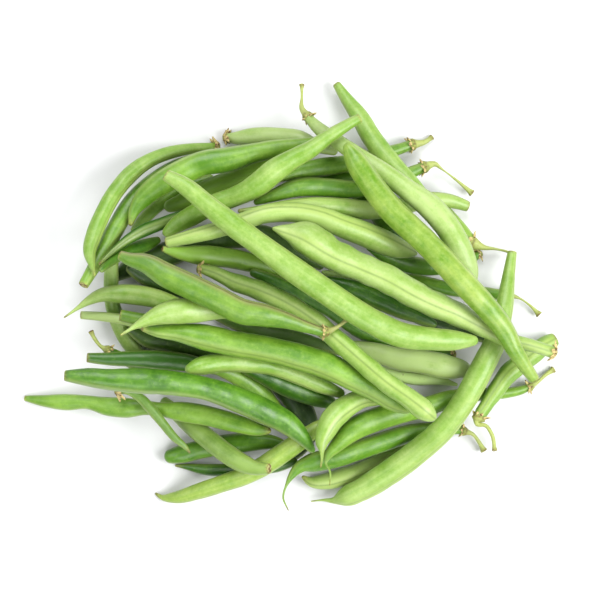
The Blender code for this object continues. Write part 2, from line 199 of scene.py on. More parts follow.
class Graph:
    """A node tree with one method that adds any node."""

    def __init__(self, tree: bpy.types.NodeTree) -> None:
        """Keep the tree that nodes are added to."""
        self.tree = tree

    def node(
        self,
        kind: str,
        settings: Optional[dict[str, Any]] = None,
        values: Optional[dict[Union[int, str], Any]] = None,
    ) -> bpy.types.Node:
        """Add a node.

        Args:
            kind: The node's type.
            settings: Its own properties, set before its sockets.
            values: What its inputs take, by name or number: a value, a Wire or an output socket.

        Returns:
            The new node.
        """
        made = self.tree.nodes.new(kind)
        for name, setting in (settings or {}).items():
            setattr(made, name, setting)
        for key, value in (values or {}).items():
            self.join(value, made.inputs[key])
        return made

    def join(self, value: Any, socket: bpy.types.NodeSocket) -> None:
        """Give a socket a value, or link it to a Wire or an output."""
        if isinstance(value, Wire):
            value = value.socket
        if isinstance(value, bpy.types.NodeSocket):
            self.tree.links.new(value, socket)
        elif isinstance(value, tuple) and socket.type == "RGBA" and len(value) == 3:
            socket.default_value = (*value, 1.0)
        else:
            socket.default_value = value

    def wire(self, node: bpy.types.Node, output: Union[int, str] = 0) -> Wire:
        """Return a node's output as a Wire."""
        return Wire(self, node.outputs[output])

    def vector(self, x: Number, y: Number, z: Number) -> bpy.types.NodeSocket:
        """Return a vector made of three numbers."""
        return self.node("ShaderNodeCombineXYZ", None, {0: x, 1: y, 2: z}).outputs[0]

    def parts(self, vector: bpy.types.NodeSocket) -> tuple[Wire, Wire, Wire]:
        """Return a vector's three numbers."""
        node = self.node("ShaderNodeSeparateXYZ", None, {0: vector})
        return self.wire(node, 0), self.wire(node, 1), self.wire(node, 2)

    def scaled(self, vector: bpy.types.NodeSocket, factor: Number) -> bpy.types.NodeSocket:
        """Return a vector times a number."""
        values = {"Vector": vector, "Scale": factor}
        return self.node("ShaderNodeVectorMath", {"operation": "SCALE"}, values).outputs[0]

    def noise(self, at: bpy.types.NodeSocket, scale: float, detail: float = 2.0) -> Wire:
        """Return smooth noise from 0 to 1.

        Args:
            at: The place.
            scale: Features per unit of the place.
            detail: Finer layers added to it.
        """
        values = {"Vector": at, "Scale": scale, "Detail": detail}
        return self.wire(self.node("ShaderNodeTexNoise", None, values))

    def mix(self, share: Number, first: Any, second: Any) -> bpy.types.NodeSocket:
        """Return a colour between two colours.

        Args:
            share: 0 gives the first colour and 1 the second.
            first: A colour or a colour output.
            second: A colour or a colour output.
        """
        made = self.tree.nodes.new("ShaderNodeMix")
        made.data_type = "RGBA"
        made.clamp_factor = True
        self.join(share, made.inputs[0])
        self.join(first, made.inputs[6])
        self.join(second, made.inputs[7])
        return made.outputs[2]


class NodeShape:
    """A Geometry Nodes tree with named inputs, run on an object to give a plain mesh."""

    def __init__(self, name: str) -> None:
        """Start a tree with a geometry input and output.

        Args:
            name: The tree's name.
        """
        self.tree = bpy.data.node_groups.new(name, "GeometryNodeTree")
        self.tree.is_modifier = True
        self.graph = Graph(self.tree)
        self.sockets: dict[str, str] = {}
        face = self.tree.interface
        face.new_socket("Geometry", in_out="INPUT", socket_type="NodeSocketGeometry")
        face.new_socket("Geometry", in_out="OUTPUT", socket_type="NodeSocketGeometry")
        self.source = self.graph.node("NodeGroupInput")

    def number(self, name: str, kind: str = "Float") -> Wire:
        """Add a named input and return it.

        Args:
            name: What the input is called.
            kind: Float, Int, Vector or Material.
        """
        item = self.tree.interface.new_socket(
            name, in_out="INPUT", socket_type="NodeSocket" + kind
        )
        self.sockets[name] = item.identifier
        return Wire(self.graph, self.source.outputs[name])

    def attribute(self, name: str, kind: str = "FLOAT") -> bpy.types.NodeSocket:
        """Return a named attribute as an output."""
        node = self.graph.node("GeometryNodeInputNamedAttribute", {"data_type": kind}, {"Name": name})
        return node.outputs["Attribute"]

    def store(self, geometry: Any, name: str, value: Any, kind: str = "FLOAT") -> Any:
        """Store a named attribute on the points and return the geometry."""
        node = self.graph.node(
            "GeometryNodeStoreNamedAttribute",
            {"data_type": kind, "domain": "POINT"},
            {"Geometry": geometry, "Name": name, "Value": value},
        )
        return node.outputs[0]

    def hold_above(self, geometry: Any, clearance: float) -> Any:
        """Return the geometry with every point at least this far (mm) above the floor."""
        x, y, z = self.graph.parts(self.graph.node("GeometryNodeInputPosition").outputs[0])
        above = self.graph.vector(x, y, z.most(clearance * MM))
        node = self.graph.node(
            "GeometryNodeSetPosition", None, {"Geometry": geometry, "Position": above}
        )
        return node.outputs[0]

    def close(self, geometry: Any, material: Wire) -> None:
        """Realize the geometry, give it its material and end the tree."""
        solid = self.graph.node("GeometryNodeRealizeInstances", None, {"Geometry": geometry})
        soft = self.graph.node("GeometryNodeSetShadeSmooth", None, {"Geometry": solid.outputs[0]})
        dressed = self.graph.node(
            "GeometryNodeSetMaterial", None, {"Geometry": soft.outputs[0], "Material": material}
        )
        self.graph.node("NodeGroupOutput", None, {0: dressed.outputs[0]})

    def grow(self, name: str, mesh: bpy.types.Mesh, values: dict[str, Any]) -> bpy.types.Object:
        """Run the tree on a mesh and return the result as a plain mesh object.

        Args:
            name: The new object's name.
            mesh: What the tree starts from. It is removed afterwards.
            values: The named inputs.
        """
        seed = bpy.data.objects.new(name + "_seed", mesh)
        bpy.context.scene.collection.objects.link(seed)
        modifier = seed.modifiers.new(self.tree.name, "NODES")
        modifier.node_group = self.tree
        for key, value in values.items():
            modifier[self.sockets[key]] = value
        depsgraph = bpy.context.evaluated_depsgraph_get()
        result = bpy.data.meshes.new_from_object(seed.evaluated_get(depsgraph), depsgraph=depsgraph)
        result.name = name
        seed.modifiers.remove(modifier)
        bpy.data.objects.remove(seed)
        bpy.data.meshes.remove(mesh)
        grown = bpy.data.objects.new(name, result)
        bpy.context.scene.collection.objects.link(grown)
        return grown


# ---------------------------------------------------------------------------------------------
# Finishes
# ---------------------------------------------------------------------------------------------


@dataclass(frozen=True)
class Grain:
    """One size of natural variation in a skin.

    scale is in features per mm, tone is its share in light and dark, and bump its share in height.
    """

    scale: float
    detail: float
    tone: float
    bump: float = 0.0

    def noise(self, graph: Graph, at: Any) -> Wire:
        """Return its noise at a place."""
        return graph.noise(at, self.scale, self.detail)

    def shift(self, noise: Wire) -> Wire:
        """Return how much lighter its noise makes the skin, around 0."""
        return (noise - 0.5) * self.tone


CLOUDS = Grain(0.07, 2.0, tone=1.8)
BLOTCHES = Grain(0.21, 2.0, tone=0.95, bump=0.16)
MOTTLE = Grain(0.85, 3.0, tone=0.8, bump=0.07)
PORES = Grain(2.6, 2.0, tone=0.5, bump=0.03)
STREAKS = Grain(1.6, 4.0, tone=0.8, bump=0.015)
STREAK_ROUND = 2.2       # streaks crowd together round the pod
STREAK_ALONG = 0.035     # and stretch out along it
SEAM_HALF_SPLIT = 0.46   # mm from the middle of the front seam to each of its two lines


@dataclass(frozen=True)
class SkinFinish:
    """The waxy skin of a pod, with the colours of its seams, ends and stem."""

    name: str
    light: Colour
    dark: Colour
    seam: Colour = (0.062, 0.130, 0.010)
    seam_border: Colour = (0.350, 0.430, 0.120)
    stem: Colour = (0.270, 0.290, 0.062)
    dry: Colour = (0.110, 0.052, 0.015)
    flesh: Colour = (0.350, 0.350, 0.130)
    roughness: float = 0.42
    blemish: float = 0.0
    seam_strength: float = 0.55

    def build(self) -> bpy.types.Material:
        """Make the material.

        Returns:
            A material that reads the sweep's own attributes: ends, place and ring.
        """
        material = bpy.data.materials.new("skin_" + self.name)
        material.use_nodes = True
        graph = Graph(material.node_tree)
        shader = material.node_tree.nodes["Principled BSDF"]
        shader.inputs["Subsurface Weight"].default_value = 0.18
        shader.inputs["Subsurface Radius"].default_value = (0.8, 1.0, 0.35)
        shader.inputs["Subsurface Scale"].default_value = 0.0022
        shader.inputs["Specular IOR Level"].default_value = 0.50

        spot = graph.node("ShaderNodeTexCoord").outputs["Object"]
        place_mm = graph.scaled(spot, 1000.0)
        stem, cap, cut = self._attribute(graph, "ends")
        front, back, along = self._attribute(graph, "place")
        ring_x, ring_y, shade = self._attribute(graph, "ring")

        clouds = CLOUDS.noise(graph, place_mm)
        blotches = BLOTCHES.noise(graph, place_mm)
        mottle = MOTTLE.noise(graph, place_mm)
        pores = PORES.noise(graph, place_mm)
        round_pod = (ring_x * STREAK_ROUND, ring_y * STREAK_ROUND)
        streaks = STREAKS.noise(graph, graph.vector(*round_pod, along * STREAK_ALONG))

        # shade is each bean's set tone, which holds painted light and shade for pods deep in the heap;
        # the noise adds random tone to it.
        tone = shade + CLOUDS.shift(clouds) + BLOTCHES.shift(blotches) + MOTTLE.shift(mottle)
        tone = tone + STREAKS.shift(streaks) + PORES.shift(pores)
        colour = graph.mix(tone, self.dark, self.light)
        flecks = mottle.step(0.60, 0.76) * 0.12
        colour = graph.mix(flecks, colour, self.seam_border)
        colour = self._paint_seams(graph, colour, front, back, mottle)
        colour = self._paint_blemishes(graph, colour, place_mm)
        colour = self._paint_ends(graph, colour, (stem, cap, cut), mottle)
        graph.join(colour, shader.inputs["Base Color"])

        rough = self.roughness + (clouds - 0.5) * 0.18 + (mottle - 0.5) * 0.16
        rough = rough + cap * 0.3 + cut * 0.2
        graph.join(rough.least(0.95).most(0.2), shader.inputs["Roughness"])
        height = blotches * BLOTCHES.bump + mottle * MOTTLE.bump + pores * PORES.bump
        height = height + streaks * STREAKS.bump + (cap + stem) * pores * 0.25
        bump = graph.node("ShaderNodeBump", None, {"Strength": 0.75, "Distance": MM, "Height": height})
        graph.join(bump.outputs[0], shader.inputs["Normal"])
        return material

    @staticmethod
    def _attribute(graph: Graph, name: str) -> tuple[Wire, Wire, Wire]:
        """Return the three numbers of one of the sweep's attributes."""
        node = graph.node("ShaderNodeAttribute", {"attribute_name": name})
        return graph.parts(node.outputs["Vector"])

    def _paint_seams(self, graph: Graph, colour: Any, front: Wire, back: Wire, mottle: Wire) -> Any:
        """Return the colour with the pod's two seams drawn on it."""
        near = front.least(back)
        border = near.bell(0.80) * (0.75 * self.seam_strength)
        lines = (front - SEAM_HALF_SPLIT).bell(0.13).most(back.bell(0.15))
        line = lines * (0.35 + mottle) * self.seam_strength
        colour = graph.mix(border, colour, self.seam_border)
        return graph.mix(line, colour, self.seam)

    def _paint_blemishes(self, graph: Graph, colour: Any, place_mm: Any) -> Any:
        """Return the colour with small brown marks, more of them on a poor pod."""
        marks = graph.noise(place_mm, 0.55, 4.0).step(0.735 - 0.1 * self.blemish, 0.79)
        scuffs = graph.noise(place_mm, 0.22, 6.0).step(0.70 - 0.06 * self.blemish, 0.80)
        share = (marks * 0.55 + scuffs * 0.35).least(0.8) * (0.45 + self.blemish)
        return graph.mix(share, colour, self.dry)

    def _paint_ends(
        self, graph: Graph, colour: Any, ends: tuple[Wire, Wire, Wire], mottle: Wire
    ) -> Any:
        """Return the colour with the stem, the dry cap and the cut face painted in."""
        stem, cap, cut = ends
        colour = graph.mix(stem, colour, graph.mix(mottle, self.stem, self.seam_border))
        dried = graph.mix(mottle.step(0.35, 0.62), self.dry, self.stem)
        colour = graph.mix(cap.least(1.0), colour, dried)
        face = graph.mix(mottle.step(0.38, 0.58), self.flesh, self.dry)
        return graph.mix(cut.least(1.0), colour, face)


class Skin(Enum):
    """The kinds of pod skin in the heap."""

    LIME = SkinFinish("lime", (0.283, 0.406, 0.103), (0.135, 0.271, 0.020))
    PALE = SkinFinish("pale", (0.312, 0.423, 0.138), (0.181, 0.311, 0.040))
    YELLOW = SkinFinish("yellow", (0.324, 0.438, 0.088), (0.158, 0.280, 0.025))
    FRESH = SkinFinish("fresh", (0.253, 0.360, 0.062), (0.093, 0.216, 0.007), roughness=0.38)
    MID = SkinFinish("mid", (0.173, 0.320, 0.030), (0.066, 0.179, 0.006))
    DEEP = SkinFinish("deep", (0.097, 0.236, 0.011), (0.025, 0.102, 0.002), roughness=0.39)
    OLIVE = SkinFinish("olive", (0.193, 0.306, 0.057), (0.090, 0.190, 0.020), roughness=0.45)
    # Painted shade: this near-black green is given to the pods that lie hidden in the heap's gaps, so
    # that the gaps read dark.
    DARK = SkinFinish("dark", (0.045, 0.104, 0.008), (0.013, 0.042, 0.002))
    STRINGY = SkinFinish(
        "stringy",
        (0.161, 0.292, 0.026),
        (0.063, 0.166, 0.005),
        seam=(0.102, 0.087, 0.024),
        seam_border=(0.271, 0.278, 0.114),
        blemish=0.5,
        seam_strength=0.95,
    )
    # Painted light: this skin's colours are made extra bright for a pod that lies in shade under
    # others; its brown marks are its own.
    SPOTTED = SkinFinish("spotted", (0.475, 0.648, 0.228), (0.259, 0.414, 0.072), blemish=1.0)


@dataclass(frozen=True)
class DryCapFinish:
    """The withered sepals round the top of a stem."""

    light: Colour = (0.47, 0.385, 0.150)
    dark: Colour = (0.115, 0.052, 0.016)
    roughness: float = 0.75

    def build(self) -> bpy.types.Material:
        """Make the material."""
        material = bpy.data.materials.new("dry_cap")
        material.use_nodes = True
        graph = Graph(material.node_tree)
        shader = material.node_tree.nodes["Principled BSDF"]
        spot = graph.node("ShaderNodeTexCoord").outputs["Object"]
        place_mm = graph.scaled(spot, 1000.0)
        coarse = graph.noise(place_mm, 0.9, 3.0)
        fine = graph.noise(place_mm, 4.0, 3.0)
        colour = graph.mix(coarse.step(0.34, 0.52), self.dark, self.light)
        graph.join(colour, shader.inputs["Base Color"])
        graph.join(self.roughness + (fine - 0.5) * 0.3, shader.inputs["Roughness"])
        relief = {"Strength": 0.8, "Distance": 0.2 * MM, "Height": fine}
        bump = graph.node("ShaderNodeBump", None, relief)
        graph.join(bump.outputs[0], shader.inputs["Normal"])
        return material


@dataclass(frozen=True)
class FloorFinish:
    """A plain matt white surface."""

    light: Colour = (0.68, 0.685, 0.69)
    dark: Colour = (0.655, 0.66, 0.666)

    def build(self) -> bpy.types.Material:
        """Make the material."""
        material = bpy.data.materials.new("pale_floor")
        material.use_nodes = True
        graph = Graph(material.node_tree)
        shader = material.node_tree.nodes["Principled BSDF"]
        shader.inputs["Roughness"].default_value = 0.7
        shader.inputs["Specular IOR Level"].default_value = 0.1
        spot = graph.node("ShaderNodeTexCoord").outputs["Object"]
        colour = graph.mix(graph.noise(spot, 9.0), self.light, self.dark)
        graph.join(colour, shader.inputs["Base Color"])
        return material


# ---------------------------------------------------------------------------------------------
# A pod's axis
# ---------------------------------------------------------------------------------------------


def smooth_through(knots: np.ndarray, values: np.ndarray, places: np.ndarray) -> np.ndarray:
    """Return values on a smooth curve through unevenly spaced knots.

    Args:
        knots: Where each known value is, rising.
        values: One row for each knot.
        places: Where values are wanted.

    Returns:
        One row for each place.
    """
    steps = np.diff(knots)
    slopes = np.diff(values, axis=0) / steps[:, None]
    tangents = np.empty_like(values)
    tangents[0] = slopes[0]
    tangents[-1] = slopes[-1]
    before = steps[:-1, None]
    after = steps[1:, None]
    tangents[1:-1] = (slopes[:-1] * after + slopes[1:] * before) / (before + after)
    index = np.clip(np.searchsorted(knots, places, side="right") - 1, 0, len(steps) - 1)
    width = steps[index][:, None]
    t = ((places - knots[index]) / steps[index])[:, None]
    blend_start = (1 + 2 * t) * (1 - t) ** 2 * values[index]
    blend_end = t ** 2 * (3 - 2 * t) * values[index + 1]
    lean_start = t * (1 - t) ** 2 * width * tangents[index]
    lean_end = t ** 2 * (t - 1) * width * tangents[index + 1]
    return blend_start + blend_end + lean_start + lean_end


@dataclass
class Axis:
    """The line down the middle of a bean and how thick the bean is along it, in mm."""

    points: np.ndarray
    radii: np.ndarray

    @classmethod
    def of_node(cls, node: bpy.types.Object, toward: Compass) -> "Axis":
        """Read the axis back from a packed pod.

        Args:
            node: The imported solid, an eight-sided tube.
            toward: The side of the heap where the axis is to start.

        Returns:
            The axis, starting at the end that lies further that way.
        """
        rings = cls._rings(node)
        points = np.array([ring.mean(axis=0) for ring in rings])
        radii = np.array([np.linalg.norm(r - r.mean(axis=0), axis=1).mean() for r in rings])
        side = np.array(toward.value)
        if float((points[-1, :2] - points[0, :2]) @ side) > 0:
            points = points[::-1]
            radii = radii[::-1]
        return cls(points / MM, radii / MM)

    @classmethod
    def _rings(cls, node: bpy.types.Object) -> list[np.ndarray]:
        """Return the corners of each ring of a tube, from one end to the other."""
        shell = bmesh.new()
        shell.from_mesh(node.data)
        bmesh.ops.remove_doubles(shell, verts=shell.verts, dist=1e-6)
        verts = list(shell.verts)
        places = np.array([v.co for v in verts])
        centre = places.mean(axis=0)
        far = places[np.argmax(np.linalg.norm(places - centre, axis=1))]
        order = np.argsort(np.linalg.norm(places - far, axis=1))[:TUBE_SIDES]
        ring = {verts[i] for i in order}
        seen = set(ring)
        rings = [np.array([v.co for v in ring])]
        while ring:
            ring = {e.other_vert(v) for v in ring for e in v.link_edges} - seen
            seen |= ring
            if ring:
                rings.append(np.array([v.co for v in ring]))
        shell.free()
        if any(len(r) != TUBE_SIDES for r in rings):
            raise ValueError(f"{node.name} is not a tube with {TUBE_SIDES} sides")
        return rings

    def lengths(self) -> np.ndarray:
        """Return the distance of each point from the start."""
        steps = np.linalg.norm(np.diff(self.points, axis=0), axis=1)
        return np.concatenate([[0.0], np.cumsum(steps)])


@dataclass(frozen=True)
class EndShape:
    """How the radius closes at one end: (distance from the end, share of the radius) pairs.

    Distances are in end radii. face says up to which pair the cut face reaches.
    """

    rings: tuple[tuple[float, float], ...]
    face: int = 0

    @classmethod
    def of(cls, end: End) -> "EndShape":
        """Return the shape of a kind of end."""
        if end in (End.CUT, End.STEM):
            face = ((0.0, 0.04), (0.02, 0.30), (0.04, 0.60), (0.06, 0.84))
            rings = face + ((0.12, 0.94), (0.30, 0.995))
            return cls(rings, face=len(face))
        angles = [math.radians(a) for a in (4, 18, 33, 48, 63, 77)]
        return cls(tuple((0.85 * (1 - math.cos(a)), math.sin(a)) for a in angles))


# ---------------------------------------------------------------------------------------------
# The trees
# ---------------------------------------------------------------------------------------------


class PodSweep(NodeShape):
    """Sweeps a pod's skin along its axis and presses seeds and seams into it."""

    def __init__(self) -> None:
        """Build the tree.

        It expects a line of points with the attributes girth (m), ends (stem, cap, cut) and
        along (mm from the stem end).
        """
        super().__init__("pod_sweep")
        graph = self.graph
        material = self.number("Material", "Material")
        sides = self.number("Sides", "Int")
        seam_turn = self.number("Seam Turn")
        twist = self.number("Twist")
        swell = self.number("Seed Swell")
        pitch = self.number("Seed Pitch")
        depth = self.number("Seam Depth")
        shade = self.number("Shade")

        line = graph.node("GeometryNodeMeshToCurve", None, {"Mesh": self.source.outputs["Geometry"]})
        upright = graph.node("GeometryNodeSetCurveNormal", {"mode": "Z_UP"}, {"Curve": line.outputs[0]})
        part = graph.wire(graph.node("GeometryNodeSplineParameter"))
        tilt = graph.node(
            "GeometryNodeSetCurveTilt",
            None,
            {"Curve": upright.outputs[0], "Tilt": seam_turn + twist * part},
        )
        girth = self.attribute("girth")
        swept = graph.node(
            "GeometryNodeCurveToMesh",
            None,
            {
                "Curve": tilt.outputs[0],
                "Profile Curve": self._profile(sides),
                "Scale": girth,
                "Fill Caps": True,
            },
        )
        shaped = self._press(swept.outputs[0], swell, pitch, depth)
        self.close(self._note_places(shaped, shade), material)

    def _profile(self, sides: Wire) -> Any:
        """Return a unit circle whose corners crowd together at the two seams."""
        graph = self.graph
        unit = {"Resolution": sides, "Radius": 1.0}
        circle = graph.node("GeometryNodeCurvePrimitiveCircle", None, unit)
        turn = graph.wire(graph.node("GeometryNodeSplineParameter")) * (2 * math.pi)
        angle = turn - (turn * 2.0).sin() * 0.34
        at = graph.vector(angle.cos(), angle.sin(), 0.0)
        placed = {"Geometry": circle.outputs[0], "Position": at}
        moved = graph.node("GeometryNodeSetPosition", None, placed)
        return self.store(moved.outputs[0], "circle", at, "FLOAT_VECTOR")

    def _seam_distances(self) -> tuple[Wire, Wire]:
        """Return the distance in mm round the skin to each of the two seams."""
        graph = self.graph
        across, up, _ = graph.parts(self.attribute("circle", "FLOAT_VECTOR"))
        girth = Wire(graph, self.attribute("girth")) * 1000.0
        angle = graph.node("ShaderNodeMath", {"operation": "ARCTAN2"}, {0: abs(up), 1: across})
        turned = graph.wire(angle)
        return turned * girth, (math.pi - turned) * girth

    def _press(self, mesh: Any, swell: Wire, pitch: Wire, depth: Wire) -> Any:
        """Return the sweep with its seeds, waists, waves and seams."""
        graph = self.graph
        girth = Wire(graph, self.attribute("girth"))
        along = Wire(graph, self.attribute("along"))
        _, up, _ = graph.parts(self.attribute("circle", "FLOAT_VECTOR"))
        front, back = self._seam_distances()
        spot = graph.scaled(graph.node("GeometryNodeInputPosition").outputs[0], 1000.0)
        drift = graph.noise(spot, 0.035, 1.0) * 5.0
        between = (along * (math.pi / pitch) + drift).sin()
        flank = up * up
        body = (girth * 1000.0).step(1.6, 3.4)
        waist = between * between * flank * swell * body
        wave = graph.noise(spot, 0.13, 2.0) * 0.085 * body
        groove = (front - SEAM_HALF_SPLIT).bell(0.24).most(back.bell(0.5)) * depth * body
        ridge = (front.least(back) - 1.15).bell(0.5) * depth * 0.35 * body
        inward = girth * (waist + wave) + (groove - ridge) * MM
        normal = graph.node("GeometryNodeInputNormal").outputs[0]
        offset = graph.scaled(normal, -inward)
        moved = graph.node("GeometryNodeSetPosition", None, {"Geometry": mesh, "Offset": offset})
        return self.hold_above(moved.outputs[0], FLOOR_CLEARANCE)

    def _note_places(self, mesh: Any, shade: Wire) -> Any:
        """Store what the skin's material reads: place and ring."""
        graph = self.graph
        front, back = self._seam_distances()
        along = Wire(graph, self.attribute("along"))
        across, up, _ = graph.parts(self.attribute("circle", "FLOAT_VECTOR"))
        mesh = self.store(mesh, "place", graph.vector(front, back, along), "FLOAT_VECTOR")
        return self.store(mesh, "ring", graph.vector(across, up, shade), "FLOAT_VECTOR")


class SepalRing(NodeShape):
    """Makes the ring of small dry sepals where a stem joins its pod."""

    def __init__(self) -> None:
        """Build the tree. It takes no geometry: place and turn put the ring on its pod."""
        super().__init__("sepal_ring")
        graph = self.graph
        material = self.number("Material", "Material")
        count = self.number("Count", "Int")
        length = self.number("Length")
        width = self.number("Width")
        collar = self.number("Collar")
        lean = self.number("Lean")
        place = self.number("Place", "Vector")
        turn = self.number("Turn", "Vector")
        seed = self.number("Seed", "Int")

        ring = graph.node("GeometryNodeMeshCircle", None, {"Vertices": count, "Radius": collar})
        index = graph.wire(graph.node("GeometryNodeInputIndex"))
        bearing = index * (2 * math.pi) / count + self._chance(seed, -0.25, 0.25)
        tilt = -lean + self._chance(seed + 1, -0.35, 0.30)
        angles = graph.vector(self._chance(seed + 2, -0.5, 0.5), tilt, bearing)
        rotation = graph.node("FunctionNodeEulerToRotation", None, {0: angles})
        stretch = self._chance(seed + 3, 0.65, 1.2)
        on_ring = graph.node(
            "GeometryNodeInstanceOnPoints",
            None,
            {
                "Points": ring.outputs[0],
                "Instance": self._sepal(length, width),
                "Rotation": rotation.outputs[0],
                "Scale": graph.vector(stretch, 1.0, 1.0),
            },
        )
        turned = graph.node("FunctionNodeEulerToRotation", None, {0: turn})
        placed = graph.node(
            "GeometryNodeTransform",
            None,
            {"Geometry": on_ring.outputs[0], "Translation": place, "Rotation": turned.outputs[0]},
        )
        solid = graph.node("GeometryNodeRealizeInstances", None, {"Geometry": placed.outputs[0]})
        self.close(self.hold_above(solid.outputs[0], SEPAL_CLEARANCE), material)

    def _chance(self, seed: Number, low: float, high: float) -> Wire:
        """Return a random number for each sepal."""
        node = self.graph.node("FunctionNodeRandomValue", {"data_type": "FLOAT"})
        node.inputs[2].default_value = low
        node.inputs[3].default_value = high
        self.graph.join(seed, node.inputs["Seed"])
        return Wire(self.graph, node.outputs[1])

    def _sepal(self, length: Wire, width: Wire) -> Any:
        """Return one closed, pointed, curling sepal that grows along +X."""
        graph = self.graph
        ball = graph.node("GeometryNodeMeshUVSphere", None, {"Segments": 8, "Rings": 7, "Radius": 1.0})
        x, y, z = graph.parts(graph.node("GeometryNodeInputPosition").outputs[0])
        out = (x + 1.0) * 0.5
        taper = 1.15 - out * 0.75
        shaped = graph.vector(
            out * length,
            y * taper * width,
            z * length * 0.12 + (y * y * 0.16 - out * out * 0.30) * length,
        )
        values = {"Geometry": ball.outputs[0], "Position": shaped}
        return graph.node("GeometryNodeSetPosition", None, values).outputs[0]


# ---------------------------------------------------------------------------------------------
# The beans
# ---------------------------------------------------------------------------------------------


@dataclass
class Bean:
    """One bean: a pod with what grew on its ends.

    seam is where the front seam lies, in degrees round the pod from its top, and twist is how far
    it turns along the pod. shade goes from the skin's dark colour at 0 to its light one at 1. It is
    partly the pod's own tone and partly painted light and shade: pods low in the heap and in its
    gaps are set darker, and some that lie in shade are set lighter.
    pitch is the distance in mm between seeds, and swell how deep the waists between them are.
    """

    node: str
    skin: Skin
    start: End
    side: Compass
    finish: End
    seam: float = 80.0
    swell: float = 0.065
    pitch: float = 11.0
    twist: float = 14.0
    shade: float = 0.5
    cap_size: float = 1.0
    axis: Axis = field(init=False)

    SEAM_ON_TOP = math.pi / 2    # turn that brings the front seam uppermost
    SEAM_DEPTH = 0.11            # mm
    RING_STEP = 0.8              # mm between the rings of skin
    SKIN_SIDES = 40              # corners in each ring
    STEM_LIMIT = 1.15            # radius in mm where a stem becomes its pod
    THINNEST = 0.12              # least radius of a tail, mm
    COLLAR_SWELL = 0.45          # how much wider a stem is at its ends
    COLLAR_LIMIT = 2.2           # radius in mm past which nothing swells
    SEPALS = 7                   # in each ring
    SEPAL_LEAN = 58.0            # degrees that they lean toward the pod

    def build(self, sweep: PodSweep, materials: dict[Skin, bpy.types.Material]) -> bpy.types.Object:
        """Make the pod.

        Args:
            sweep: The tree that makes the skin.
            materials: The skins by kind.

        Returns:
            The pod's mesh object, in its place.
        """
        self.axis = Axis.of_node(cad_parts[self.node], self.side)
        return sweep.grow(
            "pod_" + self.node.removeprefix("bean_"),
            self._line(),
            {
                "Material": materials[self.skin],
                "Sides": self.SKIN_SIDES,
                "Seam Turn": self.SEAM_ON_TOP + math.radians(self.seam),
                "Twist": math.radians(self.twist),
                "Seed Swell": self.swell,
                "Seed Pitch": self.pitch,
                "Seam Depth": self.SEAM_DEPTH,
                "Shade": self.shade,
            },
        )

    def cap_place(self) -> Optional[float]:
        """Return how far from the start the stem joins the pod, or None without a cap."""
        if self.start is End.CAP:
            return 0.5
        if self.start is not End.STEM:
            return None
        thick = np.argmax(self.axis.radii > self.STEM_LIMIT)
        return float(self.axis.lengths()[thick])

    def build_cap(self, sepals: SepalRing, material: bpy.types.Material, seed: int) -> Optional[Any]:
        """Make the dry sepals, where the bean has them.

        Args:
            sepals: The tree that makes them.
            material: Their finish.
            seed: What their chance values start from.

        Returns:
            The mesh object, or None.
        """
        join = self.cap_place()
        if join is None:
            return None
        lengths = self.axis.lengths()
        columns = np.column_stack([self.axis.points, self.axis.radii])
        here, ahead = smooth_through(lengths, columns, np.array([join, join + 2.0]))
        growth = Vector(ahead[:3] - here[:3]).normalized()
        collar = max(float(here[3]) * 0.8, 0.7)
        return sepals.grow(
            "cap_" + self.node.removeprefix("bean_"),
            bpy.data.meshes.new("cap_seed"),
            {
                "Material": material,
                "Count": self.SEPALS,
                "Length": (2.1 + 0.6 * collar) * self.cap_size * MM,
                "Width": (0.60 + 0.40 * collar) * self.cap_size * MM,
                "Collar": collar * MM,
                "Lean": math.radians(self.SEPAL_LEAN),
                "Place": tuple(Vector(here[:3]) * MM),
                "Turn": tuple(growth.to_track_quat("Z", "Y").to_euler()),
                "Seed": seed,
            },
        )

    def _line(self) -> bpy.types.Mesh:
        """Return the axis as a line of points that carries what the sweep reads."""
        knots = self.axis.lengths()
        columns = np.column_stack([self.axis.points, self.axis.radii])
        total = float(knots[-1])
        head = EndShape.of(self.start)
        tail = EndShape.of(self.finish)
        head_r = float(self.axis.radii[0])
        tail_r = float(self.axis.radii[-1])
        head_places = np.array([d * head_r for d, _ in head.rings])
        tail_places = total - np.array([d * tail_r for d, _ in tail.rings])[::-1]
        inner = total - head_places[-1] - (total - tail_places[0])
        count = max(4, round(inner / self.RING_STEP))
        middle = np.linspace(head_places[-1], tail_places[0], count + 1)[1:-1]
        places = np.concatenate([head_places, middle, tail_places])
        rows = smooth_through(knots, columns, places)
        shares = np.ones(len(places))
        shares[: len(head.rings)] = [share for _, share in head.rings]
        shares[-len(tail.rings):] = [share for _, share in tail.rings][::-1]
        cut = np.zeros(len(places))
        cut[: head.face] = 1.0
        if tail.face:
            cut[-tail.face:] = 1.0
        radii = np.maximum(rows[:, 3], self.THINNEST)
        stem, cap, swollen = self._stem_and_cap(places)
        radii = radii * (1 + self.COLLAR_SWELL * swollen * (radii < self.COLLAR_LIMIT)) * shares
        return self._as_mesh(rows[:, :3], radii, np.column_stack([stem, cap, cut]), places)

    def _stem_and_cap(self, places: np.ndarray) -> tuple[np.ndarray, np.ndarray, np.ndarray]:
        """Return how far each place is stem, how far it is dry, and how far it is swollen.

        Args:
            places: Distances from the start, in mm.
        """
        join = self.cap_place()
        stem = np.zeros(len(places))
        cap = np.zeros(len(places))
        if join is not None:
            cap = np.exp(-(((places - join) / 0.9) ** 2))
            if self.start is End.STEM:
                stem = np.clip((join - 0.3 - places) / 0.6, 0.0, 1.0)
                cap = np.maximum(cap, np.exp(-((places / 1.1) ** 2)))
        swollen = cap.copy()
        for end, reach in ((self.start, places), (self.finish, places[-1] - places)):
            if end is End.TAIL:
                cap = np.maximum(cap, 0.75 * np.exp(-((reach / 2.2) ** 2)))
            if end is End.CUT:
                cap = np.maximum(cap, 0.85 * np.exp(-((reach / 0.7) ** 2)))
        return stem, cap, swollen

